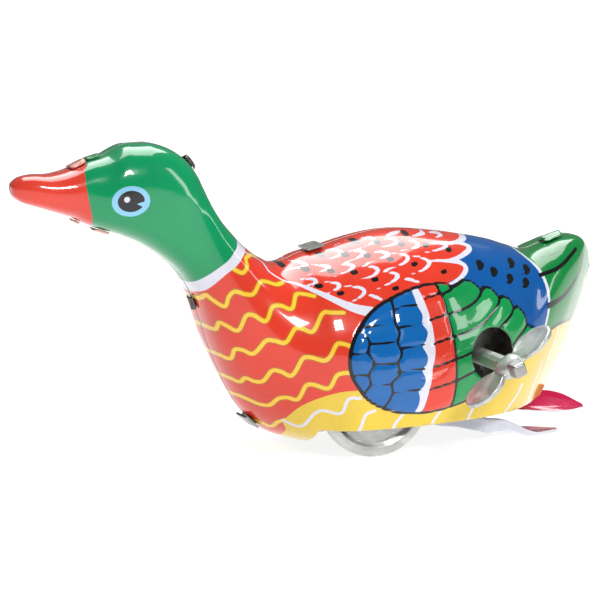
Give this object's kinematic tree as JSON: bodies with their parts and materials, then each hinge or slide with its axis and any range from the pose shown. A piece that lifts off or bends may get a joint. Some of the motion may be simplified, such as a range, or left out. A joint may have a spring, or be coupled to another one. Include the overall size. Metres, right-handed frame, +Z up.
{
  "type": "wind-up tin duck",
  "caption": "Tin wind-up duck toy: two pressed half shells over a clockwork, front wheels, sliding feet at the rear and a butterfly key.",
  "frame": {"origin": "on the floor, in the middle of the footprint of the bounding box", "axes": "-X the way the duck looks, +Y its right side, -Y its left side with the key, +Z up"},
  "size_m": [0.1662, 0.0718, 0.081],
  "materials": {
    "lithographed_tin": "glossy lithographed lacquer in several colours",
    "foot_lacquer": "glossy magenta above, white below",
    "galvanised": "mottled galvanised",
    "zinc": "cast zinc, dull",
    "brass": "machined",
    "spring_steel": "blued",
    "steel": "plain"
  },
  "bodies": {
    "body": {"left_body_shell": "lithographed_tin", "right_body_shell": "lithographed_tin", "mounting_strap": "steel", "left_frame_plate": "steel", "right_frame_plate": "steel", "front_pillar": "steel", "top_pillar": "steel", "rear_pillar": "steel", "spring_post": "steel", "left_rod_guide": "steel", "right_rod_guide": "steel", "mainspring": "spring_steel"},
    "wheels": {"wheel_axle": "steel", "axle_gear": "brass", "speed_gear": "brass", "left_wheel": "galvanised", "right_wheel": "galvanised", "left_axle_collar": "steel", "right_axle_collar": "steel"},
    "cranks": {"crank_arbor": "steel", "crank_gear": "brass", "crank_pinion": "steel", "left_crank_arm": "steel", "right_crank_arm": "steel", "left_crank_pin": "steel", "right_crank_pin": "steel"},
    "governor": {"governor_arbor": "steel", "governor_pinion": "steel", "governor_flywheel": "brass"},
    "winder": {"winding_arbor": "steel", "great_wheel": "brass", "ratchet_wheel": "steel", "pawl_pin": "steel", "winding_key": "zinc", "key_pin": "steel"},
    "click": {"click_pawl": "steel"},
    "left_foot_slider": {"left_foot": "foot_lacquer"},
    "right_foot_slider": {"right_foot": "foot_lacquer"}
  },
  "joints": [
    {"name": "wheel_spin", "type": "hinge", "parent": "body", "child": "wheels", "pos_m": [0.00791, 0.00898, 0.015], "axis": [0, 1, 0], "continuous": true},
    {"name": "crank_spin", "type": "hinge", "parent": "body", "child": "cranks", "pos_m": [0.02289, 0.00898, 0.01559], "axis": [0, 1, 0], "continuous": true},
    {"name": "governor_spin", "type": "hinge", "parent": "body", "child": "governor", "pos_m": [0.00233, 0.00898, 0.02763], "axis": [0, 1, 0], "continuous": true},
    {"name": "key_turn", "type": "hinge", "parent": "body", "child": "winder", "pos_m": [0.03451, 0.00898, 0.0246], "axis": [0, 1, 0], "continuous": true},
    {"name": "click_lift", "type": "hinge", "parent": "winder", "child": "click", "pos_m": [0.03308, 0.01758, 0.03268], "axis": [0, 1, 0], "range_deg": [0, 15]},
    {"name": "left_foot_slide", "type": "slide", "parent": "body", "child": "left_foot_slider", "axis": [1, 0, 0], "range_m": [0, 0.01999]},
    {"name": "right_foot_slide", "type": "slide", "parent": "body", "child": "right_foot_slider", "axis": [1, 0, 0], "range_m": [-0.01999, 0]}
  ],
  "couplings": [
    {"joint": "crank_spin", "follows": "wheel_spin", "ratio": -0.66667},
    {"joint": "governor_spin", "follows": "wheel_spin", "ratio": -3.6},
    {"joint": "key_turn", "follows": "wheel_spin", "ratio": 0.21622},
    {"joint": "right_foot_slide", "follows": "left_foot_slide", "ratio": -1}
  ]
}
